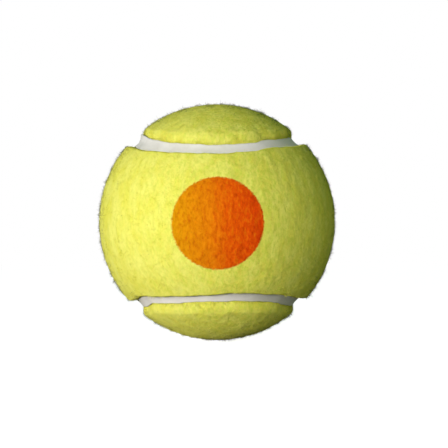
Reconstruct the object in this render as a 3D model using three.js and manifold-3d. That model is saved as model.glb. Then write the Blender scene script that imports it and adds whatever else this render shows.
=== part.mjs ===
// A junior tennis ball: a hollow rubber core made of two bonded halves, two dumbbell-shaped cloth
// panels cemented round it, a bead of seam rubber between their edges, and one round printed dot.
// Millimetres. The origin is the ball's centre, +Z is up and the dot faces -Y.

import * as THREE from 'three';
import { mergeVertices } from 'three/addons/utils/BufferGeometryUtils.js';
import Module from 'manifold-3d';

const wasm = await Module();
wasm.setup();

// Driving dimensions

const ballDiameter = 66; // over the nap
const clothThickness = 3.1; // backing weave and nap together
const cementThickness = 0.25;
const coreWall = 3.2;
const bondThickness = 0.4; // the glue line between the core's halves
const waistWidth = 43.8; // across a panel's waist, along the ball, between the seam's centre lines
const seamWidth = 3.0;
const seamBow = 0.75; // how far the seam's centre line bows into a panel beside its waist, at most
const seamHeight = 1.65; // from its foot on the core to its top
const seamDish = 0.15; // how far the bead's edges climb the cloth beside them
const edgeRounding = 1.8; // how far the cloth's rounded edge reaches in from its side wall
const dotDiameter = 23.6; // along the ball
const dotDepth = 0.8; // how deep the ink soaks into the nap
const fitClearance = 0.2; // between neighbours that are cemented together
const cutOverrun = 1;

// Counts of flat facets

const panelColumns = 40; // along a panel, a multiple of 4
const napRows = 14; // across a panel's outer face, an even number
const backRows = 10; // across a panel's inner face
const edgeSteps = 4; // round a panel's edge
const lathedSides = 40; // round the core and the dot
const coreRows = 7; // from the core's pole to its rim
const dotRows = 4; // from the dot's middle to its edge

// The layers' radii, from the outside in

const ballRadius = ballDiameter / 2;
const clothInnerRadius = ballRadius - clothThickness;
const cementOuterRadius = clothInnerRadius - fitClearance;
const cementInnerRadius = cementOuterRadius - cementThickness;
const coreOuterRadius = cementInnerRadius - fitClearance;
const coreInnerRadius = coreOuterRadius - coreWall;
const seamFootRadius = coreOuterRadius + fitClearance;
const seamTopRadius = seamFootRadius + seamHeight;

// Angles at the ball's centre

const beadHalfAngle = seamWidth / 2 / seamTopRadius;
const wallAngle = beadHalfAngle + fitClearance / seamTopRadius;
const roundingAngle = edgeRounding / ballRadius;
const waistHalfAngle = waistWidth / ballDiameter;
const dotHalfAngle = dotDiameter / ballDiameter;

// The seam's wave as shares of the unit sphere's radius, from how high it passes over the waist
const swingShare = (1 - Math.sin(waistHalfAngle)) / 2;
const sweepShare = 1 - swingShare;
const depthShare = 2 * Math.sqrt(sweepShare * swingShare);
const bowPeakShare = 2 / (3 * Math.sqrt(3)); // the greatest value of a squared sine times its cosine

// The wave that the seam follows, on the unit sphere. It passes above the dot at turn 0, and the
// half from turn -90 to 90 degrees lies above the middle plane.
function waveDirection(turn) {
  return new THREE.Vector3(
    -sweepShare * Math.sin(turn) - swingShare * Math.sin(3 * turn),
    -depthShare * Math.cos(2 * turn),
    sweepShare * Math.cos(turn) - swingShare * Math.cos(3 * turn),
  );
}

// The way along the wave there.
function waveHeading(turn) {
  return new THREE.Vector3(
    -sweepShare * Math.cos(turn) - 3 * swingShare * Math.cos(3 * turn),
    2 * depthShare * Math.sin(2 * turn),
    -sweepShare * Math.sin(turn) + 3 * swingShare * Math.sin(3 * turn),
  ).normalize();
}

// The angle from the wave to the seam's centre line, which bows into the front panel on both sides
// of its waist, and into the rear panel on both sides of that one.
function bowAngle(turn) {
  const swell = Math.sin(2 * turn) ** 2 * Math.cos(2 * turn) / bowPeakShare;
  return seamBow * swell / ballRadius;
}

// A direction beside the seam, turned from it by an angle at the ball's centre. A positive angle
// goes into the front panel.
function besideSeam(turn, angle) {
  const onWave = waveDirection(turn);
  const inwards = new THREE.Vector3().crossVectors(onWave, waveHeading(turn));
  const fromWave = angle + bowAngle(turn);
  return onWave.multiplyScalar(Math.cos(fromWave)).addScaledVector(inwards, Math.sin(fromWave));
}

function geometryOf(points, triangles) {
  const geometry = new THREE.BufferGeometry();
  geometry.setAttribute('position', new THREE.Float32BufferAttribute(points.flat(), 3));
  geometry.setIndex(triangles.flat());
  geometry.computeVertexNormals();
  return geometry;
}

// Panels

// A round-edged plate bent to the ball, in the front panel's outline. The section runs from the
// border of the inner face to the border of the outer one: each step of it has its angle from the
// seam and its radius. Both faces are filled with columns that stand square to the middle plane.
function panelGeometry(section, innerRows, outerRows) {
  const stations = 2 * panelColumns;
  const points = [];
  const triangles = [];

  function add(direction, radius) {
    points.push(direction.clone().multiplyScalar(radius).toArray());
    return points.length - 1;
  }

  // One closed loop of points for each step of the section: over the top and back underneath.
  function borderLoop({ angle, radius }) {
    const directions = [];
    for (let i = 0; i <= panelColumns; i++) {
      const turn = (i / panelColumns - 1 / 2) * Math.PI;
      directions.push(besideSeam(turn, angle));
    }
    directions[0].setZ(0).normalize();
    directions[panelColumns].setZ(0).normalize();
    for (let i = panelColumns - 1; i > 0; i--) {
      const { x, y, z } = directions[i];
      directions.push(new THREE.Vector3(x, y, -z));
    }
    return directions.map((direction) => ({ direction, index: add(direction, radius) }));
  }

  const loops = section.map(borderLoop);
  for (let k = 1; k < loops.length; k++) {
    for (let i = 0; i < stations; i++) {
      const next = (i + 1) % stations;
      const [a, b] = [loops[k - 1][i].index, loops[k - 1][next].index];
      const [c, d] = [loops[k][i].index, loops[k][next].index];
      triangles.push([a, b, d], [a, d, c]);
    }
  }

  function fill(loop, radius, rows, outwards) {
    const columns = [];
    for (let i = 0; i <= panelColumns; i++) {
      const top = loop[i];
      const isTip = i === 0 || i === panelColumns;
      if (isTip) {
        columns.push(Array(rows + 1).fill(top.index));
        continue;
      }
      const height = Math.asin(top.direction.z);
      const level = new THREE.Vector3(top.direction.x, top.direction.y, 0).normalize();
      const column = [loop[stations - i].index];
      for (let row = 1; row < rows; row++) {
        const tilt = height * (2 * row / rows - 1);
        const direction = level.clone().multiplyScalar(Math.cos(tilt)).setZ(Math.sin(tilt));
        column.push(add(direction, radius));
      }
      column.push(top.index);
      columns.push(column);
    }
    for (let i = 0; i < panelColumns; i++) {
      for (let row = 0; row < rows; row++) {
        const [a, b] = [columns[i][row], columns[i + 1][row]];
        const [c, d] = [columns[i][row + 1], columns[i + 1][row + 1]];
        const pair = [[a, b, d], [a, d, c]].filter((t) => new Set(t).size === 3);
        triangles.push(...pair.map(([p, q, r]) => (outwards ? [p, r, q] : [p, q, r])));
      }
    }
  }

  fill(loops[0], section[0].radius, innerRows, false);
  fill(loops[loops.length - 1], section[section.length - 1].radius, outerRows, true);
  return geometryOf(points, triangles);
}

// The cloth's side wall is straight up to the bead's top, and its edge is a quarter round above.
function clothSection() {
  const section = [{ angle: wallAngle, radius: clothInnerRadius }];
  for (let i = 0; i <= edgeSteps; i++) {
    const bend = i / edgeSteps * Math.PI / 2;
    section.push({
      angle: wallAngle + roundingAngle * (1 - Math.cos(bend)),
      radius: seamTopRadius + (ballRadius - seamTopRadius) * Math.sin(bend),
    });
  }
  return section;
}

function cementSection() {
  return [
    { angle: wallAngle, radius: cementInnerRadius },
    { angle: wallAngle, radius: cementOuterRadius },
  ];
}

// Seam

// A closed loop of a dished section: its foot lies on the core and its edges climb the cloth.
function seamGeometry() {
  const rimRadius = seamTopRadius + seamDish;
  const slopeRadius = seamTopRadius + seamDish / 4; // a parabola's height at half its reach
  const section = [
    { angle: -beadHalfAngle, radius: seamFootRadius },
    { angle: beadHalfAngle, radius: seamFootRadius },
    { angle: beadHalfAngle, radius: rimRadius },
    { angle: beadHalfAngle / 2, radius: slopeRadius },
    { angle: 0, radius: seamTopRadius },
    { angle: -beadHalfAngle / 2, radius: slopeRadius },
    { angle: -beadHalfAngle, radius: rimRadius },
  ];
  const steps = 2 * panelColumns;
  const points = [];
  const triangles = [];
  for (let i = 0; i < steps; i++) {
    const turn = (i / panelColumns - 1 / 2) * Math.PI;
    for (const { angle, radius } of section) {
      points.push(besideSeam(turn, angle).multiplyScalar(radius).toArray());
    }
  }
  for (let i = 0; i < steps; i++) {
    const here = i * section.length;
    const there = (i + 1) % steps * section.length;
    for (let k = 0; k < section.length; k++) {
      const next = (k + 1) % section.length;
      triangles.push([here + k, here + next, there + next], [here + k, there + next, there + k]);
    }
  }
  return geometryOf(points, triangles);
}

// Core

// Points of an arc round the centre, from one angle off the lathe's axis to another.
function arc(radius, from, to, rows) {
  const points = [];
  for (let i = 0; i <= rows; i++) {
    const angle = from + (to - from) * i / rows;
    points.push(new THREE.Vector2(radius * Math.sin(angle), radius * Math.cos(angle)));
  }
  return points;
}

function rimAngle(radius) {
  return Math.acos(bondThickness / 2 / radius);
}

// Half a hollow sphere that opens downwards, with a flat rim half a glue line above the middle.
function coreHalfGeometry() {
  const inner = arc(coreInnerRadius, 0, rimAngle(coreInnerRadius), coreRows);
  const outer = arc(coreOuterRadius, rimAngle(coreOuterRadius), 0, coreRows);
  return new THREE.LatheGeometry([...inner, ...outer], lathedSides).rotateX(Math.PI / 2);
}

function bondGeometry() {
  const outer = coreOuterRadius * Math.sin(rimAngle(coreOuterRadius));
  const inner = coreInnerRadius * Math.sin(rimAngle(coreInnerRadius));
  const top = bondThickness / 2;
  const profile = [
    new THREE.Vector2(inner, -top),
    new THREE.Vector2(outer, -top),
    new THREE.Vector2(outer, top),
    new THREE.Vector2(inner, top),
    new THREE.Vector2(inner, -top),
  ];
  return new THREE.LatheGeometry(profile, lathedSides).rotateX(Math.PI / 2);
}

// Dot

// A round cap of the ball about the lathe's axis, between two radii.
function capGeometry(innerRadius, outerRadius, halfAngle) {
  const inner = arc(innerRadius, 0, halfAngle, dotRows);
  const outer = arc(outerRadius, halfAngle, 0, dotRows);
  return new THREE.LatheGeometry([...inner, ...outer], lathedSides);
}

function turnedToFront(geometry) {
  return geometry.rotateX(Math.PI);
}

function dotGeometry() {
  return turnedToFront(capGeometry(ballRadius - dotDepth, ballRadius, dotHalfAngle));
}

// The room that the dot takes up in the front panel, with its clearance and the cut's overrun.
function dotPocketGeometry() {
  const floorRadius = ballRadius - dotDepth - fitClearance;
  const halfAngle = dotHalfAngle + fitClearance / ballRadius;
  return turnedToFront(capGeometry(floorRadius, ballRadius + cutOverrun, halfAngle));
}

// Cuts

function solidOf(geometry) {
  const bare = geometry.clone();
  for (const name of Object.keys(bare.attributes)) {
    if (name !== 'position') bare.deleteAttribute(name);
  }
  const merged = mergeVertices(bare);
  return new wasm.Manifold(new wasm.Mesh({
    numProp: 3,
    vertProperties: new Float32Array(merged.attributes.position.array),
    triVerts: new Uint32Array(merged.index.array),
  }));
}

function cutGeometry(geometry, tool) {
  const { vertProperties, triVerts } = solidOf(geometry).subtract(solidOf(tool)).getMesh();
  const result = new THREE.BufferGeometry();
  result.setAttribute('position', new THREE.BufferAttribute(vertProperties, 3));
  result.setIndex(new THREE.BufferAttribute(triVerts, 1));
  result.computeVertexNormals();
  return result;
}

// Materials

function material(color, roughness) {
  return new THREE.MeshStandardMaterial({ color, roughness, metalness: 0 });
}

const cloth = () => material(0xd8d455, 0.95);
const dye = () => material(0xe07a12, 0.95);
const seamRubber = () => material(0xe0dcc4, 0.6);
const coreRubber = () => material(0x3a3a38, 0.8);
const cement = () => material(0xc9b98f, 0.7);

// Assembly

const ball = new THREE.Group();

function place(name, geometry, finish) {
  const mesh = new THREE.Mesh(geometry, finish);
  mesh.name = name;
  ball.add(mesh);
  return mesh;
}

// The rear panel is the front one, turned half round about the line between +X and +Z.
function turnToRear(mesh) {
  const between = new THREE.Vector3(1, 0, 1).normalize();
  mesh.quaternion.setFromAxisAngle(between, Math.PI);
}

const panel = panelGeometry(clothSection(), backRows, napRows);
const film = panelGeometry(cementSection(), backRows, backRows);

place('core_half_top', coreHalfGeometry(), coreRubber());
place('core_half_bottom', coreHalfGeometry(), coreRubber()).rotation.x = Math.PI;
place('core_bond', bondGeometry(), cement());
place('backing_cement_front', film, cement());
turnToRear(place('backing_cement_rear', film, cement()));
place('felt_panel_front', cutGeometry(panel, dotPocketGeometry()), cloth());
turnToRear(place('felt_panel_rear', panel, cloth()));
place('seam_rubber', seamGeometry(), seamRubber());
place('printed_dot', dotGeometry(), dye());

export default ball;
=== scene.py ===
import itertools
import math

import bpy
import numpy as np
from mathutils import Matrix, Vector


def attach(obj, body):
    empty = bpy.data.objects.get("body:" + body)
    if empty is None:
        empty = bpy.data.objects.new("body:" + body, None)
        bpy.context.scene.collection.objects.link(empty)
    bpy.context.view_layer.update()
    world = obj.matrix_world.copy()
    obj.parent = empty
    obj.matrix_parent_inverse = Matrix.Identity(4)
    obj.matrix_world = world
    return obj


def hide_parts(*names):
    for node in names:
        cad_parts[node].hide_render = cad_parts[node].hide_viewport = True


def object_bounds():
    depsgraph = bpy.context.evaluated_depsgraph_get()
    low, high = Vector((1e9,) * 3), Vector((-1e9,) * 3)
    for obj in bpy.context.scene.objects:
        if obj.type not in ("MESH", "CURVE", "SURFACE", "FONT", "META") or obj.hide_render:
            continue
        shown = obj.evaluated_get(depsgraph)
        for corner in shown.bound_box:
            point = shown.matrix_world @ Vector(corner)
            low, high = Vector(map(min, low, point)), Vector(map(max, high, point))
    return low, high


# A junior tennis ball. Metres, +Z up, the ball's centre at the origin and its dot facing -Y.
# Its felt is a thick cloth with a lumpy face, fibres matted over it, a fringe of them combed over
# its cut edge, and short fuzz that stands up.

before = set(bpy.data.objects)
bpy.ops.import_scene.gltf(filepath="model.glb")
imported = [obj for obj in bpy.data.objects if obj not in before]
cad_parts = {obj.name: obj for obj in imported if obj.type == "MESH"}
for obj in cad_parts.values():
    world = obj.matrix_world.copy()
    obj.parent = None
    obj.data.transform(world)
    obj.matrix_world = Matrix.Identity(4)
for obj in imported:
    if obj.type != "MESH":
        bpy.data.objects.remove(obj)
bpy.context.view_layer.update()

MM = 0.001
BODY = "root"

# Sizes read from the frame

ON_AXIS = 0.01 * MM  # how near to the middle plane a point lies on it


def corners_of(node):
    """The points of a CAD node."""
    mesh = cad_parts[node].data
    points = np.empty(3 * len(mesh.vertices), np.float32)
    mesh.vertices.foreach_get("co", points)
    return points.reshape(-1, 3).astype(float)


def radii_of(node):
    """A CAD node's least and greatest distance from the ball's centre."""
    distances = np.linalg.norm(corners_of(node), axis=1)
    return distances.min(), distances.max()


def seam_above_dot():
    """The lowest and highest angle over the middle plane of the seam's section above the dot."""
    points = corners_of("seam_rubber")
    here = (np.abs(points[:, 0]) < ON_AXIS) & (points[:, 1] < 0) & (points[:, 2] > 0)
    angles = np.arctan2(points[here, 2], -points[here, 1])
    return angles.min(), angles.max()


cloth_inner_radius, ball_radius = radii_of("felt_panel_rear")
seam_foot_radius, seam_rim_radius = radii_of("seam_rubber")
dot_points = corners_of("printed_dot")
dot_reach = np.hypot(dot_points[:, 0], dot_points[:, 2]).max()
dot_half_angle = math.atan2(dot_reach, -dot_points[:, 1].max())
seam_low_angle, seam_high_angle = seam_above_dot()
waist_half_angle = (seam_low_angle + seam_high_angle) / 2
bead_half_angle = (seam_high_angle - seam_low_angle) / 2

# Sizes of the dressing

SEAM_BOW = 0.75 * MM  # how far the seam bows into a panel beside its waist, as in the frame
FIT_GAP = 0.2 * MM  # between the bead's side and the cloth's wall, as in the frame
NAP_DEPTH = 0.2 * MM  # how far the cloth's own face lies under the top of the nap
FRONT_ROUNDING = 1.3 * MM  # how far the cloth's rounded edge reaches in from its wall
REAR_ROUNDINGS = (1.7 * MM, 3.3 * MM)  # in most places, and over and under the dot
LOBE_FOCUS = 8  # how closely the wide rounding keeps to its place over and under the dot
EDGE_FADE = 8 * MM  # how far into a panel the straying of its edge is felt
POCKET_DEPTH = 0.8 * MM  # in the front cloth, under the dot
POCKET_SLOPE = 1.5 * MM  # how far the pocket's wall reaches in from the dot's edge
DOT_THICKNESS = 0.6 * MM
DOT_RIM = 0.03 * MM  # the dot's thickness at its edge
BEAD_DISH = 0.15 * MM
BEAD_LUMPS = (3 * MM, 0.05 * MM)  # their breadth and height
SMEAR = (0.74, 0.2, 0.7)  # up the rear cloth's edge: its turn, half length and share of the height
SMEAR_FOCUS = 1.5  # how closely the smear keeps to that edge
seam_top_radius = seam_rim_radius - BEAD_DISH
cloth_radius = ball_radius - NAP_DEPTH
wall_angle = bead_half_angle + FIT_GAP / seam_top_radius
edge_rise = cloth_radius - seam_top_radius

# Counts

PANEL_COLUMNS = 420
FACE_ROWS = 176
BACK_ROWS = 10
EDGE_STEPS = 10
SEAM_SAMPLES = 1440
BEAD_STEPS = 1200
BEAD_COLUMNS = 12
DOT_RINGS = 56
DOT_SECTORS = 240
NAP_PIECES = 5  # on each panel
FUZZ_PIECES = 2  # on each panel
FIBRE_COUNT = 100000
EDGE_FIBRE_COUNT = 12000
FRINGE_COUNT = 9000
FUZZ_COUNT = 140000  # places tried for a fibre
NOISE_SPAN = 64
LOOKUP_BLOCK = 20000  # directions set against the seam at once
SEED = 7
BEAD_SEED = SEED + 20
SHADE_SEED = SEED + 40
FUZZ_SEED = SEED + 41
FRINGE_SEED = SEED + 42

# The seam's line, as the frame draws it

swing_share = (1 - math.sin(waist_half_angle)) / 2
sweep_share = 1 - swing_share
depth_share = 2 * math.sqrt(sweep_share * swing_share)
bow_peak_share = 2 / (3 * math.sqrt(3))
TURN_STEP = 0.001  # over which a derivative is taken
NEVER_ZERO = 1e-12  # added to a vector before it is made a unit one


def unit(vectors):
    return vectors / np.linalg.norm(vectors, axis=-1, keepdims=True)


def wave_direction(turn):
    """The wave that the seam follows, on the unit sphere, above the dot at turn 0."""
    return np.stack([
        -sweep_share * np.sin(turn) - swing_share * np.sin(3 * turn),
        -depth_share * np.cos(2 * turn),
        sweep_share * np.cos(turn) - swing_share * np.cos(3 * turn),
    ], axis=-1)


def speed_of(curve, turn):
    """The derivative of a curve on the sphere."""
    return (curve(turn + TURN_STEP) - curve(turn - TURN_STEP)) / (2 * TURN_STEP)


def seam_direction(turn):
    """The seam's centre line, which bows off the wave into each panel beside its waist."""
    wave = wave_direction(turn)
    inwards = np.cross(wave, unit(speed_of(wave_direction, turn)))
    swell = np.sin(2 * turn) ** 2 * np.cos(2 * turn) / bow_peak_share
    bow = (SEAM_BOW / ball_radius * swell)[..., None]
    return unit(wave * np.cos(bow) + inwards * np.sin(bow))


def seam_speed(turn):
    return speed_of(seam_direction, turn)


def into_front(turn):
    """The direction on the sphere that leaves the seam squarely, into the front panel."""
    return np.cross(seam_direction(turn), unit(seam_speed(turn)))


def beside_seam(turn, angle):
    """A direction turned from the seam by an angle, into the front panel where it is positive."""
    angle = np.broadcast_to(angle, np.shape(turn))[..., None]
    return seam_direction(turn) * np.cos(angle) + into_front(turn) * np.sin(angle)


sample_turns = np.arange(SEAM_SAMPLES) * 2 * math.pi / SEAM_SAMPLES
sample_directions = seam_direction(sample_turns)
sample_speeds = seam_speed(sample_turns)
sample_inwards = into_front(sample_turns)


def nearest_seam(directions):
    """The turn of the nearest point of the seam, and the angle from it, positive in front."""
    turns = np.empty(len(directions))
    angles = np.empty(len(directions))
    for start in range(0, len(directions), LOOKUP_BLOCK):
        block = slice(start, start + LOOKUP_BLOCK)
        some = directions[block]
        nearest = (some.astype(np.float32) @ sample_directions.T.astype(np.float32)).argmax(axis=1)
        speeds = sample_speeds[nearest]
        along = (some * speeds).sum(axis=1) / (speeds * speeds).sum(axis=1)
        turn = sample_turns[nearest] + along
        centre = seam_direction(turn)
        away = np.arccos(np.clip((some * centre).sum(axis=1), -1, 1))
        side = np.sign((some * sample_inwards[nearest]).sum(axis=1))
        turns[block] = turn
        angles[block] = away * side
    return turns, angles


# Relief


def noise(points, grain, seed):
    """Smooth random values from -1 to 1, with lumps about a grain across."""
    rng = np.random.default_rng(seed)
    table = rng.uniform(-1, 1, (NOISE_SPAN,) * 3)
    spin = np.linalg.qr(rng.normal(size=(3, 3)))[0]
    cell = points @ spin / grain
    low = np.floor(cell).astype(int)
    share = cell - low
    share = share * share * (3 - 2 * share)
    value = np.zeros(len(points))
    for corner in itertools.product((0, 1), repeat=3):
        i, j, k = ((low + corner) % NOISE_SPAN).T
        value += np.prod(np.where(corner, share, 1 - share), axis=1) * table[i, j, k]
    return value


LUMPS = (  # their breadth and height
    (6 * MM, 0.06 * MM),
    (2.2 * MM, 0.06 * MM),
    (1.0 * MM, 0.07 * MM),
    (0.55 * MM, 0.035 * MM),
)
STREAK = (1, 1, 0.5)  # lumps and flecks are drawn out along Z, the way the nap was brushed


def relief(directions):
    """How far the cloth's face rises over its mean level."""
    points = directions * ball_radius * STREAK
    return sum(
        height * noise(points, breadth, SEED + i)
        for i, (breadth, height) in enumerate(LUMPS)
    )


# Where the cloth's cut edge strays from its line. Waves: their count round the seam, their phase
# on each side and their reach. Bumps: turn, half length and reach away from the seam.

EDGE_WAVES = (
    (9, 1, 0.12 * MM),
    (23, 2, 0.09 * MM),
    (41, 3, 0.07 * MM),
    (77, 0, 0.05 * MM),
)
FRONT_BUMPS = (
    (0.44, 0.14, 0.7 * MM),
    (-0.32, 0.06, -0.8 * MM),
    (2.99, 0.15, -0.9 * MM),
    (2.64, 0.08, 1.0 * MM),
)
REAR_BUMPS = (
    (0.72, 0.22, 1.15 * MM),
    (-0.33, 0.06, 0.4 * MM),
    (2.67, 0.08, -0.9 * MM),
    (-2.8, 0.08, -0.35 * MM),
)


def edge_shift(turn, side):
    """How far the cloth's edge lies back from its line at a turn of the seam, as an angle."""
    shift = sum(reach * np.sin(times * turn + phase * side) for times, phase, reach in EDGE_WAVES)
    for place, spread, reach in FRONT_BUMPS if side > 0 else REAR_BUMPS:
        gap = (turn - place + math.pi) % (2 * math.pi) - math.pi
        shift = shift + reach * np.exp(-(gap / spread) ** 2)
    return shift / ball_radius


# Meshes


def mesh_of(name, points, polygons, uv=None):
    """A mesh from points and arrays of faces, one array for each number of corners."""
    mesh = bpy.data.meshes.new(name)
    corners = np.concatenate([p.ravel() for p in polygons]).astype(np.int32)
    counts = np.concatenate([np.full(len(p), p.shape[1]) for p in polygons])
    starts = (np.cumsum(counts) - counts).astype(np.int32)
    mesh.vertices.add(len(points))
    mesh.vertices.foreach_set("co", points.astype(np.float32).ravel())
    mesh.loops.add(len(corners))
    mesh.loops.foreach_set("vertex_index", corners)
    mesh.polygons.add(len(counts))
    mesh.polygons.foreach_set("loop_start", starts)
    mesh.polygons.foreach_set("use_smooth", np.ones(len(counts), bool))
    if uv is not None:
        layer = mesh.uv_layers.new(name="OFBake")
        layer.uv.foreach_set("vector", uv.astype(np.float32).ravel())
    mesh.update(calc_edges=True)
    return mesh


def piece_of(name, mesh, material):
    """A piece that rides on the ball, in its finish."""
    piece = bpy.data.objects.new(name, mesh)
    bpy.context.scene.collection.objects.link(piece)
    mesh.materials.append(material)
    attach(piece, BODY)
    return piece


# Cloth


def to_rear(points):
    """Turns a front panel's point half round about the line between +X and +Z."""
    return np.stack([points[..., 2], -points[..., 1], points[..., 0]], axis=-1)


def rounding_of(turn, side):
    """How far a panel's rounded edge reaches in, as an angle."""
    least, most = REAR_ROUNDINGS
    rear = least + (most - least) * np.cos(turn) ** LOBE_FOCUS
    return np.where(side > 0, FRONT_ROUNDING, rear) / ball_radius


def edge_height(share):
    """The cloth's height at a share of the way in from the wall, from 0 to 1."""
    return 1 - (1 - np.clip(share, 0, 1)) ** 2


def cloth_section(turns, side):
    """The angles from the seam and the radius of each step round a panel's edge."""
    section = [(wall_angle, cloth_inner_radius)]
    for share in np.linspace(0, 1, EDGE_STEPS + 1):
        angles = wall_angle + rounding_of(turns, side) * share
        section.append((angles, seam_top_radius + edge_rise * edge_height(share)))
    return section


def filled_loop(loop, indices, rows, first):
    """Points that fill a panel's loop in rows, numbered from first, and the faces as a grid."""
    inner = loop[1:PANEL_COLUMNS]
    level = unit(inner * (1, 1, 0))
    height = np.arcsin(inner[:, 2])
    tilt = height[:, None] * (2 * np.arange(1, rows) / rows - 1)
    points = level[:, None, :] * np.cos(tilt)[..., None]
    points[..., 2] = np.sin(tilt)
    grid = np.empty((PANEL_COLUMNS + 1, rows + 1), int)
    grid[0] = indices[0]
    grid[-1] = indices[PANEL_COLUMNS]
    grid[1:-1, 0] = indices[:PANEL_COLUMNS:-1]
    grid[1:-1, -1] = indices[1:PANEL_COLUMNS]
    grid[1:-1, 1:-1] = first + np.arange(tilt.size).reshape(tilt.shape)
    faces = np.stack([grid[:-1, :-1], grid[:-1, 1:], grid[1:, 1:], grid[1:, :-1]], axis=-1)
    return points.reshape(-1, 3), faces


def panel_grid(side):
    """An even panel with no relief: directions where the front one lies, radii and faces."""
    turns = (np.arange(PANEL_COLUMNS + 1) / PANEL_COLUMNS - 0.5) * math.pi
    seam_turns = turns if side > 0 else -turns - math.pi / 2
    stations = 2 * PANEL_COLUMNS
    directions, radii, loops = [], [], []
    for angle, radius in cloth_section(seam_turns, side):
        over = beside_seam(turns, angle)
        over[[0, -1], 2] = 0
        over = unit(over)
        under = over[-2:0:-1] * (1, 1, -1)
        directions.append(np.concatenate([over, under]))
        radii.append(np.full(stations, radius))
        loops.append(np.arange(stations) + stations * len(loops))
    quads = [
        np.stack([low, np.roll(low, -1), np.roll(high, -1), high], axis=1)
        for low, high in zip(loops, loops[1:])
    ]
    triangles = []
    count = stations * len(loops)
    last = len(loops) - 1
    for ring, rows, way in ((0, BACK_ROWS, -1), (last, FACE_ROWS, 1)):
        points, faces = filled_loop(directions[ring], loops[ring], rows, count)
        directions.append(points)
        radii.append(np.full(len(points), radii[ring][0]))
        count += len(points)
        faces = faces[..., ::way]
        quads.append(faces[1:-1].reshape(-1, 4))
        for face in np.concatenate([faces[0], faces[-1]]).tolist():
            triangles.append([i for n, i in enumerate(face) if i != face[n - 1]])
    faces = [np.concatenate(quads), np.array(triangles)]
    return np.concatenate(directions), np.concatenate(radii), faces


def dress_panel(directions, radii, side):
    """Lays a panel's points on the uneven cloth: its edge strays, and its face has relief."""
    turn, angle = nearest_seam(directions)
    past_edge = np.abs(angle) - wall_angle - rounding_of(turn, side)
    fade = np.clip(1 - past_edge * ball_radius / EDGE_FADE, 0, 1) ** 2
    shifted = edge_shift(turn, side) * fade
    away = into_front(turn) * side
    moved = unit(directions + away * shifted[:, None])
    outside = np.clip((radii - seam_top_radius) / edge_rise, 0, 1)
    height = relief(moved) * outside
    if side > 0:
        off_dot = np.arccos(np.clip(-moved[:, 1], -1, 1))
        height = height - POCKET_DEPTH * pocket_share(off_dot) * (radii > seam_top_radius)
    return moved * (radii + height)[:, None]


def pocket_share(off_dot):
    """From 0 at the dot's edge to 1 where the pocket under it is at its full depth."""
    share = np.clip((dot_half_angle - off_dot) * ball_radius / POCKET_SLOPE, 0, 1)
    return share * share * (3 - 2 * share)


def dot_mesh():
    """A thin cap, flush with the cloth, that thins out to its rim."""
    rings = np.arange(1, DOT_RINGS + 1) / DOT_RINGS * dot_half_angle
    sectors = np.arange(DOT_SECTORS) * 2 * math.pi / DOT_SECTORS
    off, round_ = np.meshgrid(rings, sectors, indexing="ij")
    flat = np.sin(off)
    grid = np.stack([flat * np.cos(round_), -np.cos(off), flat * np.sin(round_)], axis=-1)
    directions = np.concatenate([[[0, -1, 0]], grid.reshape(-1, 3)])
    offs = np.concatenate([[0], off.ravel()])
    top = cloth_radius + relief(directions)
    bottom = top - DOT_RIM - (DOT_THICKNESS - DOT_RIM) * pocket_share(offs)
    points = np.concatenate([directions * top[:, None], directions * bottom[:, None]])
    ring = 1 + np.arange(DOT_RINGS * DOT_SECTORS).reshape(DOT_RINGS, DOT_SECTORS)
    after = np.roll(ring, -1, axis=1)
    below = len(directions)
    quads = np.stack([ring[:-1], ring[1:], after[1:], after[:-1]], axis=-1).reshape(-1, 4)
    fans = np.stack([np.zeros(DOT_SECTORS, int), ring[0], after[0]], axis=-1)
    rim = np.stack([ring[-1], ring[-1] + below, after[-1] + below, after[-1]], axis=-1)
    return mesh_of("dot_dye", points, [
        np.concatenate([quads, quads[:, ::-1] + below, rim]),
        np.concatenate([fans, fans[:, ::-1] + below]),
    ])


def bead_mesh():
    """The seam's rubber, from its foot on the core to its dished top in the cloth's gap."""
    turns = np.arange(BEAD_STEPS) * 2 * math.pi / BEAD_STEPS
    rear_angle = -bead_half_angle - edge_shift(turns, -1)
    front_angle = bead_half_angle + edge_shift(turns, 1)
    across = np.linspace(1, -1, BEAD_COLUMNS + 1)
    top = seam_top_radius + BEAD_DISH * across ** 2
    section = [(-1, seam_foot_radius), (1, seam_foot_radius), *zip(across, top)]
    rings = []
    for share, radius in section:
        angle = rear_angle + (front_angle - rear_angle) * (share + 1) / 2
        rings.append(beside_seam(turns, angle) * radius)
    points = np.stack(rings, axis=1)
    breadth, height = BEAD_LUMPS
    climb = height * noise(points.reshape(-1, 3), breadth, BEAD_SEED).reshape(points.shape[:2])
    place, spread, level = SMEAR
    towards_rear = np.array([max(0, -share) ** SMEAR_FOCUS for share, _ in section])
    climb += level * edge_rise * np.exp(-((turns[:, None] - place) / spread) ** 2) * towards_rear
    climb[:, :2] = 0
    points = points * (1 + climb / ball_radius)[..., None]
    index = np.arange(points.shape[0] * points.shape[1]).reshape(points.shape[:2])
    there = np.roll(index, -1, axis=0)
    beyond = np.roll(there, -1, axis=1)
    quads = np.stack([index, np.roll(index, -1, axis=1), beyond, there], axis=-1)
    return mesh_of("seam_bead", points.reshape(-1, 3), [quads.reshape(-1, 4)])


# Nap

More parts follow.
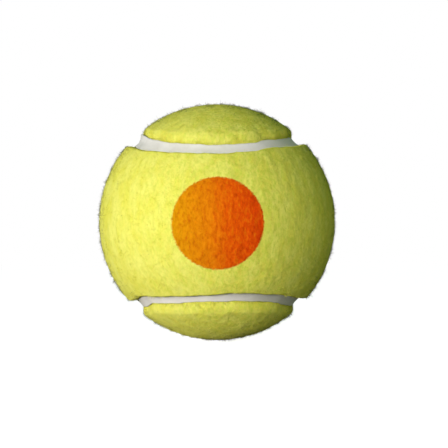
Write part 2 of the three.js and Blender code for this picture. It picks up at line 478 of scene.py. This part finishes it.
FIBRE_SIDES = 3
FIBRE_STATIONS = 4
FAN_CORNERS = ((0.5, 1, 0), (0.5, 0, 1))  # across a fibre's side, at its first and last tip
CELL_SLIMNESS = 3  # how many times wider than high a fibre's cell is for the bake
CELL_MARGIN = 0.1
FIBRE_RADIUS = 0.035 * MM
FIBRE_FLATNESS = 0.25
FIBRE_LENGTHS = (0.8 * MM, 2.0 * MM)
FIBRE_RISES = (0.005 * MM, 0.05 * MM)
FIBRE_BURIED = 0.03 * MM
FIBRE_BENDS = (0.5, 0.4)  # how much it turns at each station, always and by chance, in radians
LAY = np.array([0.35, 0, -1])  # the way most of the nap was brushed
LOOSE_SHARE = 0.5  # of the lying fibres, which lie any way
COMBED_SPREAD = 0.7  # how far the others stray from the brushed way, in radians
CLUMP = 0.7 * MM  # how far neighbouring fibres share a shade
CLUMP_SHADE = 1.2
OWN_SHADE = 0.5
EDGE_FIBRE_REACH = 0.6  # the share of the rounded edge that extra fibres lie on

# The nap is thinner at -X: a direction's share along X, and the share of the fibres kept there
SPARSE = ((-0.8, 0.1), (0.35, 1))

FRINGE_ROOTS = (0.1 * MM, 1.6 * MM)  # how far inside the cloth's wall a fringe fibre is rooted
FRINGE_REACHES = (-0.1 * MM, 0.35 * MM)  # how far past the wall it ends
FRINGE_TUFTS = (1.5 * MM, 0.25 * MM)  # the breadth of its tufts, and how far they stand out
FRINGE_DRIFT = 0.5 * MM
FRINGE_LIFTS = (0.02 * MM, 0.25 * MM)  # how far over the cloth it ends
FRINGE_SHADES = (0.5, 2.5)
FUZZ_STATIONS = 3
FUZZ_RADIUS = 0.026 * MM
FUZZ_LENGTHS = (0.02 * MM, 0.2 * MM)
FUZZ_CLUMP = 1.3 * MM
FUZZ_DENSITY = (0.4, 1.5)  # in the middle, and how far its clumps change it
FUZZ_TUFTS = (0.75, 1.6)  # the same for how far it rises
TUFT_LIMITS = (0.25, 2)
FUZZ_RISES = ((0, 0.1 * MM), (2, 0.25 * MM), (10, 0.35 * MM))  # at each power of a random share
# Painted shade: a share of the fuzz, most of it on the back half and round the outline, is painted
# dark where the fuzz lies in its own shadow.
DARK_FUZZ_RISE = 0.12 * MM  # the dark fuzz rises that much more
DARK_FUZZ_SHARES = (0.015, 0.95)  # of the fuzz, round the dot and on the ball's back half, painted dark as painted shade
FUZZ_SHADE_LEVELS = ((0.75, 1), (0, 0.15))  # how far the dark fuzz and the rest are painted towards the shade colour
REAR_FADE = (-0.38, -0.13)  # a direction's share along Y where the front ends and the rear starts


def side_shift(turn, side):
    """The edge's shift on the panel that each point belongs to."""
    return np.where(side > 0, edge_shift(turn, 1), edge_shift(turn, -1))


def on_cloth(directions):
    """The directions that don't fall in the seam's gap."""
    turn, angle = nearest_seam(directions)
    return directions[np.abs(angle) > wall_angle + side_shift(turn, np.sign(angle))]


def lying_starts(rng):
    """Random directions over both panels, and more on their steep edges."""
    anywhere = unit(rng.normal(size=(FIBRE_COUNT, 3)))
    kept = np.interp(anywhere[:, 0], *SPARSE)
    anywhere = anywhere[rng.random(FIBRE_COUNT) < kept]
    turn = rng.uniform(0, 2 * math.pi, EDGE_FIBRE_COUNT)
    share = rng.uniform(0, EDGE_FIBRE_REACH, EDGE_FIBRE_COUNT)
    side = rng.choice([-1, 1], EDGE_FIBRE_COUNT)
    angle = wall_angle + side_shift(turn, side) + rounding_of(turn, side) * share
    return on_cloth(np.concatenate([anywhere, beside_seam(turn, angle * side)]))


def laid_on_cloth(directions, heights, side):
    """Points over the cloth's face. A direction in the seam's gap is moved back to the edge."""
    turn, angle = nearest_seam(directions)
    edge = wall_angle + side_shift(turn, side)
    depth = np.maximum(angle * side, edge)
    rounding = rounding_of(turn, side)
    share = np.clip((depth - edge) / rounding, 0, 1)
    slope = 2 * (1 - share) * edge_rise / (rounding * ball_radius)
    outwards = 1 / np.hypot(1, slope)
    to_seam = slope * outwards
    height = (edge_rise + relief(directions)) * edge_height(share) + heights * outwards
    back = beside_seam(turn, (depth - heights * to_seam / ball_radius) * side)
    placed = np.where((share < 1)[:, None], back, directions)
    return placed * (seam_top_radius + height)[:, None]


def heading_from_lay(here, spread):
    """The way along the sphere that leaves each place at an angle from the brushed way."""
    brushed = unit(np.cross(here, np.cross(np.broadcast_to(LAY, here.shape), here)) + NEVER_ZERO)
    return brushed * np.cos(spread)[:, None] + np.cross(here, brushed) * np.sin(spread)[:, None]


def stepped(here, heading, step, bend):
    """One step along a great circle, then a turn of the heading."""
    step = step[:, None]
    bend = bend[:, None]
    there = here * np.cos(step) + heading * np.sin(step)
    ahead = heading * np.cos(step) - here * np.sin(step)
    return unit(there), unit(ahead * np.cos(bend) + np.cross(there, ahead) * np.sin(bend))


def grown(rng, here, heading, side, length, rise, stations, arch):
    """The points of fibres of a length over the cloth. The arch shapes each one's height."""
    count = len(here)
    step = length / (stations - 1) / ball_radius
    always, by_chance = FIBRE_BENDS
    bend = rng.normal(0, always, count)
    points = []
    for i in range(stations):
        lift = arch(i / (stations - 1))
        points.append(laid_on_cloth(here, rise * lift - FIBRE_BURIED * (1 - lift), side))
        turned = bend + rng.normal(0, by_chance, count)
        here, heading = stepped(here, heading, step, turned)
    return np.stack(points, axis=1)


def side_of(directions):
    return np.sign(nearest_seam(directions)[1])


def arched(share):
    return math.sin(math.pi * share)


def upright(share):
    return share


def lying_fibres(rng):
    """Fibres matted over the cloth: their points, their panel's side and their shade."""
    middle = lying_starts(rng)
    count = len(middle)
    side = side_of(middle)
    loose = rng.random(count) < LOOSE_SHARE
    any_way = rng.uniform(-math.pi, math.pi, count)
    spread = np.where(loose, any_way, rng.normal(0, COMBED_SPREAD, count))
    length = rng.uniform(*FIBRE_LENGTHS, count)
    half_back = -length / 2 / ball_radius
    start, heading = stepped(middle, heading_from_lay(middle, spread), half_back, np.zeros(count))
    rise = rng.uniform(*FIBRE_RISES, count)
    points = grown(rng, start, heading, side, length, rise, FIBRE_STATIONS, arched)
    shade = CLUMP_SHADE * noise(middle * ball_radius * STREAK, CLUMP, SHADE_SEED)
    shade += np.clip(rng.normal(0, OWN_SHADE, count), -1, 1)
    return points, side, np.repeat(shade[:, None], FIBRE_STATIONS, axis=1)


def fringe(rng):
    """Fibres combed over the cloth's cut edge towards the seam, in the same form."""
    turn = rng.uniform(0, 2 * math.pi, FRINGE_COUNT)
    side = rng.choice([-1, 1], FRINGE_COUNT)
    root = rng.uniform(*FRINGE_ROOTS, FRINGE_COUNT)
    breadth, stand = FRINGE_TUFTS
    tufts = stand * noise(seam_direction(turn) * ball_radius, breadth, FRINGE_SEED)
    reach = rng.uniform(*FRINGE_REACHES, FRINGE_COUNT) + tufts
    drift = rng.normal(0, FRINGE_DRIFT / ball_radius, FRINGE_COUNT)
    lift = rng.uniform(*FRINGE_LIFTS, FRINGE_COUNT)
    points = []
    for i in range(FIBRE_STATIONS):
        share = i / (FIBRE_STATIONS - 1)
        there = turn + drift * share
        inside = (root - (root + reach) * share) / ball_radius
        height = edge_rise * edge_height(inside / rounding_of(there, side))
        level = seam_top_radius + height - FIBRE_BURIED * (1 - share) + lift * share
        angle = wall_angle + side_shift(there, side) + inside
        points.append(beside_seam(there, angle * side) * level[:, None])
    shade = rng.uniform(*FRINGE_SHADES, (FRINGE_COUNT, 1))
    return np.stack(points, axis=1), side, np.repeat(shade, FIBRE_STATIONS, axis=1)


def in_the_rear(directions):
    """From 0 round the dot to 1 at the ball's outline and on its back half."""
    return np.interp(directions[:, 1], REAR_FADE, (0, 1))


def fuzz(rng):
    """Short fibres that stand up, in the same form, with how far each is painted dark for a shade:
    painted shade, most of it on the ball's back half and round its outline.
    """
    roots = unit(rng.normal(size=(FUZZ_COUNT, 3)))
    middle, change = FUZZ_DENSITY
    dense = middle + change * noise(roots * ball_radius, FUZZ_CLUMP, FUZZ_SEED)
    roots = on_cloth(roots[rng.random(FUZZ_COUNT) < dense * (1 + in_the_rear(roots))])
    count = len(roots)
    side = side_of(roots)
    length = rng.uniform(*FUZZ_LENGTHS, count)
    some = rng.random(count)
    dark_fuzz = rng.random(count) < np.interp(in_the_rear(roots), (0, 1), DARK_FUZZ_SHARES)
    middle, change = FUZZ_TUFTS
    tufts = middle + change * noise(roots * ball_radius, FUZZ_CLUMP, FUZZ_SEED)
    rise = sum(height * some ** power for power, height in FUZZ_RISES) + DARK_FUZZ_RISE * dark_fuzz
    rise = rise * np.clip(tufts, *TUFT_LIMITS)
    heading = heading_from_lay(roots, rng.uniform(-math.pi, math.pi, count))
    points = grown(rng, roots, heading, side, length, rise, FUZZ_STATIONS, upright)
    # Painted shade: the dark fuzz is painted towards the shade colour, the rest only a little.
    fuzz_shade = np.where(dark_fuzz, *(rng.uniform(*levels, count) for levels in FUZZ_SHADE_LEVELS))
    return points, side, np.repeat(fuzz_shade[:, None], FUZZ_STATIONS, axis=1)


def fibre_rings(paths, radius, flatness):
    """The corners round each inner station of the fibres, FIBRE_SIDES to a station."""
    ways = unit(np.gradient(paths, axis=1) + NEVER_ZERO)
    sides = unit(np.cross(ways, unit(paths)) + NEVER_ZERO)
    ups = np.cross(sides, ways)
    inner = slice(1, paths.shape[1] - 1)
    rings = []
    for turn in 2 * math.pi * np.arange(FIBRE_SIDES) / FIBRE_SIDES:
        out = sides[:, inner] * math.sin(turn) + ups[:, inner] * math.cos(turn) * flatness
        rings.append(paths[:, inner] + radius * out)
    return np.stack(rings, axis=2).reshape(len(paths), -1, 3)


def in_cells(count, u, v):
    """Places for the bake: each fibre has its own cell of the unit square, with u and v in it."""
    across = math.ceil(math.sqrt(count / CELL_SLIMNESS))
    up = math.ceil(count / across)
    index = np.arange(count)[:, None, None]
    inside = CELL_MARGIN + (1 - 2 * CELL_MARGIN) * np.stack([u, v], axis=-1)
    corner = np.stack([index % across, index // across], axis=-1)
    return ((corner + inside) / (across, up)).reshape(-1, 2)


def nap_mesh(name, paths, shades, radius, flatness):
    """Closed fibres that taper to both ends, pressed flat to a share of their width."""
    count, stations, _ = paths.shape
    rings = fibre_rings(paths, radius, flatness)
    points = np.concatenate([paths[:, :1], rings, paths[:, -1:]], axis=1)
    per_fibre = points.shape[1]
    ring = 1 + np.arange((stations - 2) * FIBRE_SIDES).reshape(-1, FIBRE_SIDES)
    after = np.roll(ring, -1, axis=1)
    quads = np.stack([ring[:-1], after[:-1], after[1:], ring[1:]], axis=-1).reshape(-1, 4)
    starts = np.stack([np.zeros(FIBRE_SIDES, int), after[0], ring[0]], axis=-1)
    ends = np.stack([np.full(FIBRE_SIDES, per_fibre - 1), ring[-1], after[-1]], axis=-1)
    fans = np.concatenate([starts, ends])
    station = np.repeat(np.arange(1, stations - 1), FIBRE_SIDES)
    station = np.concatenate([[0], station, [stations - 1]])
    quad_side = np.tile(np.arange(FIBRE_SIDES), stations - 3)
    quad_v = (quad_side[:, None] + np.array([0, 1, 1, 0])) / FIBRE_SIDES
    fan_side = np.tile(np.arange(FIBRE_SIDES), 2)
    fan_v = (fan_side[:, None] + np.repeat(FAN_CORNERS, FIBRE_SIDES, axis=0)) / FIBRE_SIDES
    uv = [
        in_cells(count, station[faces] / (stations - 1), v)
        for faces, v in ((quads, quad_v), (fans, fan_v))
    ]
    offsets = np.arange(count)[:, None, None] * per_fibre
    polygons = [(quads + offsets).reshape(-1, 4), (fans + offsets).reshape(-1, 3)]
    mesh = mesh_of(name, points.reshape(-1, 3), polygons, np.concatenate(uv))
    shade = mesh.attributes.new("shade", "FLOAT", "POINT")
    shade.data.foreach_set("value", shades[:, station].ravel().astype(np.float32))
    return mesh


# Materials

WHITE = (1, 1, 1, 1)


def colour(red, green, blue):
    """A colour written in 0 to 255 as on a screen, for a shader."""
    def linear(value):
        value = value / 255
        return value / 12.92 if value <= 0.04045 else ((value + 0.055) / 1.055) ** 2.4
    return (linear(red), linear(green), linear(blue), 1)


class Nodes:
    """The nodes of a material or of the world, with short ways to add to them."""

    def __init__(self, owner, output="ShaderNodeOutputMaterial"):
        owner.use_nodes = True
        self.owner = owner
        self.tree = owner.node_tree
        self.tree.nodes.clear()
        self.output = self.add(output)

    def add(self, kind, **settings):
        node = self.tree.nodes.new(kind)
        for name, value in settings.items():
            setattr(node, name, value)
        return node

    def link(self, source, target):
        self.tree.links.new(source, target)

    def feed(self, socket, value):
        if isinstance(value, bpy.types.NodeSocket):
            self.link(value, socket)
        else:
            socket.default_value = value

    def math(self, operation, a, b=0.0):
        node = self.add("ShaderNodeMath", operation=operation)
        self.feed(node.inputs[0], a)
        self.feed(node.inputs[1], b)
        return node.outputs[0]

    def fit(self, value, low, high, to_low=0.0, to_high=1.0):
        node = self.add("ShaderNodeMapRange", clamp=True)
        for socket, number in zip(node.inputs, (value, low, high, to_low, to_high)):
            self.feed(socket, number)
        return node.outputs[0]

    def mix(self, share, a, b, kind="MIX"):
        node = self.add("ShaderNodeMix", data_type="RGBA", blend_type=kind)
        self.feed(node.inputs[0], share)
        self.feed(node.inputs[6], a)
        self.feed(node.inputs[7], b)
        return node.outputs[2]

    def noise(self, place, grain, detail=2.0, roughness=0.5):
        node = self.add("ShaderNodeTexNoise")
        self.link(place, node.inputs["Vector"])
        node.inputs["Scale"].default_value = 1 / grain
        node.inputs["Detail"].default_value = detail
        node.inputs["Roughness"].default_value = roughness
        return node.outputs[0]

    def place(self):
        return self.add("ShaderNodeTexCoord").outputs["Object"]

    def axes(self, place):
        node = self.add("ShaderNodeSeparateXYZ")
        self.link(place, node.inputs[0])
        return node.outputs

    def stretched(self, place, factors):
        node = self.add("ShaderNodeVectorMath", operation="MULTIPLY")
        self.link(place, node.inputs[0])
        node.inputs[1].default_value = factors
        return node.outputs[0]

    def shader(self, base, roughness, **sockets):
        node = self.add("ShaderNodeBsdfPrincipled")
        self.feed(node.inputs["Base Color"], base)
        self.feed(node.inputs["Roughness"], roughness)
        for name, value in sockets.items():
            node.inputs[name.replace("_", " ")].default_value = value
        self.finish(node.outputs[0])
        return node

    def bump(self, shader, height, distance):
        node = self.add("ShaderNodeBump")
        self.link(height, node.inputs["Height"])
        node.inputs["Distance"].default_value = distance
        self.link(node.outputs[0], shader.inputs["Normal"])

    def seen(self):
        """1 for rays from the camera and mirrored or bent ones, 0 for what lights the ball."""
        path = self.add("ShaderNodeLightPath").outputs
        straight = self.math("MAXIMUM", path["Is Camera Ray"], path["Is Glossy Ray"])
        return self.math("MAXIMUM", straight, path["Is Transmission Ray"])

    def lit(self, kind, strength=1.0, tint=WHITE):
        """A shader that gives light."""
        node = self.add(kind)
        node.inputs["Color"].default_value = tint
        node.inputs["Strength"].default_value = strength
        return node.outputs[0]

    def matt(self, level):
        node = self.add("ShaderNodeBsdfDiffuse")
        node.inputs["Color"].default_value = (level, level, level, 1)
        return node.outputs[0]

    def blend(self, share, first, second):
        node = self.add("ShaderNodeMixShader")
        for socket, source in zip(node.inputs, (share, first, second)):
            self.link(source, socket)
        return node.outputs[0]

    def finish(self, shader):
        self.link(shader, self.output.inputs["Surface"])
        return self.owner


YELLOW = colour(244, 240, 98)
YELLOW_PALE = colour(252, 250, 122)
YELLOW_GREEN = colour(222, 232, 84)
OLIVE = (0.36, 0.42, 0.22, 1)
# Painted shade: the dark colour that fuzz is painted towards, for the shade at the ball's outline.
FUZZ_SHADE_COLOUR = colour(66, 73, 50)
FIBRE_PAINTED_LIGHT = (1.07, 1.06, 1.14, 1)  # painted light: loose fibres and fuzz are painted paler than the cloth, as light on their tops would make them
CLOTH_PAINTED_SHADE = 0.08  # its share of olive, painted shade: the cloth is darkened as the gaps between the fibres would be
FIBRE_DEPTHS = (-2.5, 1.5, 0.12, 0)  # from a shade to a shade, from a share of olive to a share
CLOTH_BUMPS = (0.35 * MM, 0.12 * MM)  # their grain and height
CLOTH_ROUGHNESS = 0.95
FIBRE_ROUGHNESS = 0.9
WOOL_GLOSS = 0.05

# The dot's colour from its left to its right, amber to a deeper red-orange, each with its place
# across in millimetres
DOT_GRADIENT = ((-12, (225, 160, 6)), (-2, (237, 134, 6)), (2.5, (241, 101, 5)), (11, (245, 78, 5)))
DYE_PALE = colour(255, 160, 20)
DYE_DARK = colour(196, 50, 4)

NOISE_ENDS = (0.2, 0.8)  # between them lie almost all of a noise's values

# Where a noise's values start and end to show, and from which share to which
PALE_PATCHES = (0.35, 0.65)
GREEN_FLECKS = (0.42, 0.68)
DARK_FLECKS = (0.5, 0.7, 0, 0.5)
PALE_FLECKS = (0.5, 0.3, 0, 0.4)

# Where the green flecks start and end to thin out, and from which share to which
# Painted light: on the lit left the green flecks thin out, so the wool there reads even and light.
PAINTED_LIGHT_AT_LEFT = (-22 * MM, 6 * MM, 0.4, 1)
THIN_AT_RIGHT = (8 * MM, 20 * MM, 1, 0.7)

PATCH_GRAIN = 3.2 * MM
FLECK_GRAIN = 0.75 * MM
RAGGED_GRAIN = 0.5 * MM
RAGGED_REACH = 0.25 * MM  # how far the ink's edge strays
INK_FADE = 0.2 * MM  # over which the ink ends, on each side of that edge


def wool_colour(nodes, drawn, fleck, across):
    """Yellow wool with uneven dye and greener flecks, which are fewer at the ball's sides; their
    thinning on the lit left is painted light.
    """
    patch = nodes.noise(drawn, PATCH_GRAIN, detail=2)
    yellow = nodes.mix(nodes.fit(patch, *PALE_PATCHES), YELLOW, YELLOW_PALE)
    thin = [nodes.fit(across, *ends) for ends in (PAINTED_LIGHT_AT_LEFT, THIN_AT_RIGHT)]
    flecked = nodes.math("MULTIPLY", nodes.fit(fleck, *GREEN_FLECKS), nodes.math("MULTIPLY", *thin))
    return nodes.mix(flecked, yellow, YELLOW_GREEN)


def ink_colour(nodes, fleck, across):
    """Orange ink, amber at the dot's left and a deeper red-orange at its right, with darker and
    paler flecks.
    """
    orange = colour(*DOT_GRADIENT[0][1])
    for (start, _), (end, ink) in zip(DOT_GRADIENT, DOT_GRADIENT[1:]):
        orange = nodes.mix(nodes.fit(across, start * MM, end * MM), orange, colour(*ink))
    orange = nodes.mix(nodes.fit(fleck, *DARK_FLECKS), orange, DYE_DARK)
    return nodes.mix(nodes.fit(fleck, *PALE_FLECKS), orange, DYE_PALE)


def ink_share(nodes, place):
    """1 inside the dot's ragged edge, 0 outside it and on the ball's back half."""
    across, depth, up = nodes.axes(place)
    squares = [nodes.math("MULTIPLY", way, way) for way in (across, up)]
    off_axis = nodes.math("SQRT", nodes.math("ADD", *squares))
    ragged = nodes.noise(place, RAGGED_GRAIN, detail=1)
    ragged = nodes.fit(ragged, *NOISE_ENDS, -RAGGED_REACH, RAGGED_REACH)
    edge = math.sin(dot_half_angle) * ball_radius
    from_axis = nodes.math("ADD", off_axis, ragged)
    inside = nodes.fit(from_axis, edge - INK_FADE, edge + INK_FADE, 1, 0)
    return nodes.math("MULTIPLY", inside, nodes.math("LESS_THAN", depth, 0))


def nap_colour(nodes):
    """The wool's colour, with the ink inside the dot's edge."""
    place = nodes.place()
    drawn = nodes.stretched(place, STREAK)
    fleck = nodes.noise(drawn, FLECK_GRAIN, detail=3, roughness=0.65)
    across = nodes.axes(place)[0]
    yellow = wool_colour(nodes, drawn, fleck, across)
    return nodes.mix(ink_share(nodes, place), yellow, ink_colour(nodes, fleck, across))


def shaded(nodes, base, share):
    """Deepens a colour towards olive by a share from 0 to 1."""
    return nodes.mix(share, base, OLIVE, "MULTIPLY")


def felt_material(name):
    """The cloth under the fibres, painted a little darker than they are as painted shade in the
    gaps between them.
    """
    nodes = Nodes(bpy.data.materials.new(name))
    base = shaded(nodes, nap_colour(nodes), CLOTH_PAINTED_SHADE)
    shader = nodes.shader(base, CLOTH_ROUGHNESS, Specular_IOR_Level=WOOL_GLOSS)
    grain, height = CLOTH_BUMPS
    nodes.bump(shader, nodes.noise(nodes.place(), grain, detail=3, roughness=0.6), height)
    return nodes.owner


def fibre_material(name):
    """Loose fibres, each with a shade of its own, painted paler as painted light on their tops."""
    nodes = Nodes(bpy.data.materials.new(name))
    shade = nodes.add("ShaderNodeAttribute", attribute_name="shade").outputs["Fac"]
    base = shaded(nodes, nap_colour(nodes), nodes.fit(shade, *FIBRE_DEPTHS))
    base = nodes.mix(1, base, FIBRE_PAINTED_LIGHT, "MULTIPLY")
    nodes.shader(base, FIBRE_ROUGHNESS, Specular_IOR_Level=WOOL_GLOSS)
    return nodes.owner


def fuzz_material(name):
    """Fibres that stand up, painted paler as painted light, and darkened towards a painted shade
    colour as far as their shade says.
    """
    nodes = Nodes(bpy.data.materials.new(name))
    fuzz_shade = nodes.add("ShaderNodeAttribute", attribute_name="shade").outputs["Fac"]
    base = nodes.mix(1, nap_colour(nodes), FIBRE_PAINTED_LIGHT, "MULTIPLY")
    nodes.shader(nodes.mix(fuzz_shade, base, FUZZ_SHADE_COLOUR), FIBRE_ROUGHNESS, Specular_IOR_Level=WOOL_GLOSS)
    return nodes.owner


SEAM_CLEAN = colour(242, 240, 230)
SEAM_STAINED = colour(230, 227, 215)
SEAM_PAINTED_LIGHT = colour(255, 249, 248)
PAINTED_LIGHT_FROM = (2 * MM, 8 * MM)  # across, where the painted light starts and where it is whole
STAIN_GRAIN = 4 * MM
STAINS = (0.4, 0.7)  # where the noise's values start and end to show
SEAM_ROUGHNESS = (0.3, 0.7, 0.7, 0.8)  # between these values, from a roughness to a roughness
SEAM_GLOSS = 0.1
SEAM_BUMPS = (0.7 * MM, 0.03 * MM)  # their grain and height


def bead_material():
    """Stained white rubber, painted paler at the right over the dot as painted light, where the
    recessed seam would lie in shade.
    """
    nodes = Nodes(bpy.data.materials.new("seam_rubber_dressed"))
    place = nodes.place()
    stain = nodes.noise(place, STAIN_GRAIN, detail=3)
    base = nodes.mix(nodes.fit(stain, *STAINS), SEAM_CLEAN, SEAM_STAINED)
    across, _, up = nodes.axes(place)
    # Painted light: the seam's top right of the dot is painted paler.
    right, over = nodes.fit(across, *PAINTED_LIGHT_FROM), nodes.math("GREATER_THAN", up, 0)
    base = nodes.mix(nodes.math("MULTIPLY", right, over), base, SEAM_PAINTED_LIGHT)
    rough = nodes.fit(stain, *SEAM_ROUGHNESS)
    shader = nodes.shader(base, rough, Specular_IOR_Level=SEAM_GLOSS)
    grain, height = SEAM_BUMPS
    nodes.bump(shader, nodes.noise(place, grain, detail=2), height)
    return nodes.owner


CLOUD_GRAIN = 5 * MM
CLOUDS = (0.35, 0.65)  # where the noise's values start and end to show
ROUGH_CLOUDS = (0.3, 0.7)
CLOUD_SWING = 0.08  # how far the roughness changes both ways
RUBBER_BUMPS = (0.6 * MM, 0.04 * MM)  # their grain and height


def plain_rubber(name, dark, light, roughness):
    """Cloudy rubber or cement."""
    nodes = Nodes(bpy.data.materials.new(name))
    place = nodes.place()
    cloud = nodes.noise(place, CLOUD_GRAIN, detail=3)
    base = nodes.mix(nodes.fit(cloud, *CLOUDS), dark, light)
    rough = nodes.fit(cloud, *ROUGH_CLOUDS, roughness - CLOUD_SWING, roughness + CLOUD_SWING)
    grain, height = RUBBER_BUMPS
    nodes.bump(nodes.shader(base, rough), nodes.noise(place, grain, detail=2), height)
    return nodes.owner


# Dressing

felt = felt_material("felt_cloth")
for side, name, node in (
    (1, "cloth_front", "felt_panel_front"),
    (-1, "cloth_rear", "felt_panel_rear"),
):
    directions, radii, faces = panel_grid(side)
    points = dress_panel(directions if side > 0 else to_rear(directions), radii, side)
    piece_of(name, mesh_of(name, points, faces), felt)
    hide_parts(node)

dot = piece_of("dot_dye", dot_mesh(), felt)
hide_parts("printed_dot")
bead = piece_of("seam_bead", bead_mesh(), bead_material())
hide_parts("seam_rubber")

rng = np.random.default_rng(SEED)
lying_nap = [np.concatenate(parts) for parts in zip(lying_fibres(rng), fringe(rng))]
naps = {1: [], -1: []}


def dress_in(kind, fibres, count, radius, flatness, material):
    """Splits fibres into pieces round each panel's waist, with those on the dot by themselves."""
    paths, sides, shades = fibres
    middles = unit(paths[:, paths.shape[1] // 2])
    on_dot = -middles[:, 1] > math.cos(dot_half_angle)
    groups = [(1, f"{kind}_dot", np.flatnonzero(on_dot), "orange_dye")]
    for side, panel in ((1, "front"), (-1, "rear")):
        chosen = np.flatnonzero((sides == side) & ~on_dot)
        own = middles[chosen] if side > 0 else to_rear(middles[chosen])
        order = chosen[np.argsort(np.arctan2(own[:, 0], -own[:, 1]))]
        for i, part in enumerate(np.array_split(order, count)):
            groups.append((side, f"{kind}_{panel}_{i + 1}", part, "yellow_felt"))
    for side, label, part, slot in groups:
        mesh = nap_mesh(label, paths[part], shades[part], radius, flatness)
        naps[side].append(piece_of(label, mesh, material))


dress_in("nap", lying_nap, NAP_PIECES, FIBRE_RADIUS, FIBRE_FLATNESS, fibre_material("felt_fibres"))
dress_in("fuzz", fuzz(rng), FUZZ_PIECES, FUZZ_RADIUS, 1, fuzz_material("felt_fuzz"))

core = plain_rubber("core_rubber_dressed", colour(46, 46, 44), colour(66, 65, 62), 0.8)
cement = plain_rubber("cement_dressed", colour(196, 180, 136), colour(212, 198, 156), 0.7)
for node, finish in (
    ("core_half_top", core),
    ("core_half_bottom", core),
    ("core_bond", cement),
    ("backing_cement_front", cement),
    ("backing_cement_rear", cement),
):
    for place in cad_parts[node].material_slots:
        place.material = finish

# Stage

AMBIENT = 0.07
AMBIENT_TINT = (0.1, 1, 0.45, 1)  # a greenish one, which fills the shade
world = bpy.data.worlds.new("studio")
bpy.context.scene.world = world
sky = Nodes(world, "ShaderNodeOutputWorld")
dim = sky.lit("ShaderNodeBackground", AMBIENT, AMBIENT_TINT)
sky.finish(sky.blend(sky.seen(), dim, sky.lit("ShaderNodeBackground")))

FLOOR_HALF = 6.0
FLOOR_CLEAR = (0.12, 0.5)  # from the ball: where the shadow starts to fade, and where it is gone
FLOOR_GLOW = 0.94
FLOOR_WHITE = 0.9
FLOOR_GREY = 0.2


def floor_material():
    """White to the camera with the ball's shadow left in it, and mid grey to the ball."""
    nodes = Nodes(bpy.data.materials.new("floor"))
    length = nodes.add("ShaderNodeVectorMath", operation="LENGTH")
    nodes.link(nodes.place(), length.inputs[0])
    far = nodes.fit(length.outputs["Value"], *FLOOR_CLEAR)
    near = nodes.add("ShaderNodeAddShader")
    nodes.link(nodes.lit("ShaderNodeEmission", FLOOR_GLOW), near.inputs[0])
    nodes.link(nodes.matt(FLOOR_WHITE), near.inputs[1])
    clear = nodes.blend(far, near.outputs[0], nodes.lit("ShaderNodeEmission"))
    return nodes.finish(nodes.blend(nodes.seen(), nodes.matt(FLOOR_GREY), clear))


floor_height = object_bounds()[0][2]
corners = np.array([(-1, -1, 0), (1, -1, 0), (1, 1, 0), (-1, 1, 0)], float) * FLOOR_HALF
floor_mesh = mesh_of("floor", corners, [np.array([[0, 1, 2, 3]])])
floor_mesh.materials.append(floor_material())
floor = bpy.data.objects.new("floor", floor_mesh)
floor.location = (0, 0, floor_height)
bpy.context.scene.collection.objects.link(floor)

# Lamps


def lamp(name, kind, azimuth, elevation, distance, tint):
    """A lamp that faces the ball. Its angles are counted in degrees from the camera's side."""
    turn, lift = math.radians(azimuth), math.radians(elevation)
    flat = math.cos(lift)
    towards = Vector((math.sin(turn) * flat, -math.cos(turn) * flat, math.sin(lift)))
    light = bpy.data.lights.new(name, kind)
    light.color = tint
    holder = bpy.data.objects.new(name, light)
    holder.location = towards * distance
    holder.rotation_euler = towards.to_track_quat("Z", "Y").to_euler()
    bpy.context.scene.collection.objects.link(holder)
    return light


def softbox(name, azimuth, elevation, distance, size, level, tint):
    """A wide lamp. Level is how bright a white face turned to it looks."""
    light = lamp(name, "AREA", azimuth, elevation, distance, tint)
    light.shape = "RECTANGLE"
    light.size, light.size_y = size
    light.energy = level * (math.pi * distance) ** 2


softbox("key", -34.3, 4.2, distance=0.38, size=(0.323, 0.025), level=1.075, tint=(1, 0.945, 1))
softbox("side", 47, 10.5, distance=0.33, size=(0.065, 0.22), level=0.127, tint=(1, 1, 0.7))

# Straight behind the ball, where it lights only the half that the photograph hides
BACK_LEVEL = 0.7
BACK_BREADTH = 20  # degrees
back = lamp("back", "SUN", 180, 1, distance=0, tint=(1, 0.94, 0.9))
back.energy = BACK_LEVEL * math.pi
back.angle = math.radians(BACK_BREADTH)

# Camera, fitted to the ball's outline, its dot and its seam in the photograph

CAMERA_DISTANCE = 10 * ball_radius
HALF_FRAME = 0.1903  # the tangent of half the angle of view
SENSOR_WIDTH = 36  # millimetres
PICTURE = 448
BALL_PIXEL = (217.0, 222.1)
PITCH, YAW, ROLL = 0.5, 0.3, -0.67  # degrees


def camera_matrix():
    """Where the camera stands round the ball, which itself isn't turned."""
    turned = Matrix.Identity(4)
    for angle, axis in ((ROLL, "Y"), (PITCH, "X"), (YAW, "Z")):
        turned = turned @ Matrix.Rotation(math.radians(angle), 4, axis)
    level = Matrix(((1, 0, 0, 0), (0, 0, -1, 0), (0, 1, 0, 0), (0, 0, 0, 1)))
    return turned.transposed() @ Matrix.Translation((0, -CAMERA_DISTANCE, 0)) @ level


lens = bpy.data.cameras.new("camera")
lens.sensor_width = SENSOR_WIDTH
lens.lens = SENSOR_WIDTH / 2 / HALF_FRAME
lens.shift_x = (PICTURE / 2 - BALL_PIXEL[0]) / PICTURE
lens.shift_y = (BALL_PIXEL[1] - PICTURE / 2) / PICTURE
lens.clip_start = 0.01
lens.clip_end = 50
camera = bpy.data.objects.new("camera", lens)
camera.matrix_world = camera_matrix()
bpy.context.scene.collection.objects.link(camera)
bpy.context.scene.camera = camera
bpy.context.scene.view_settings.view_transform = "Standard"
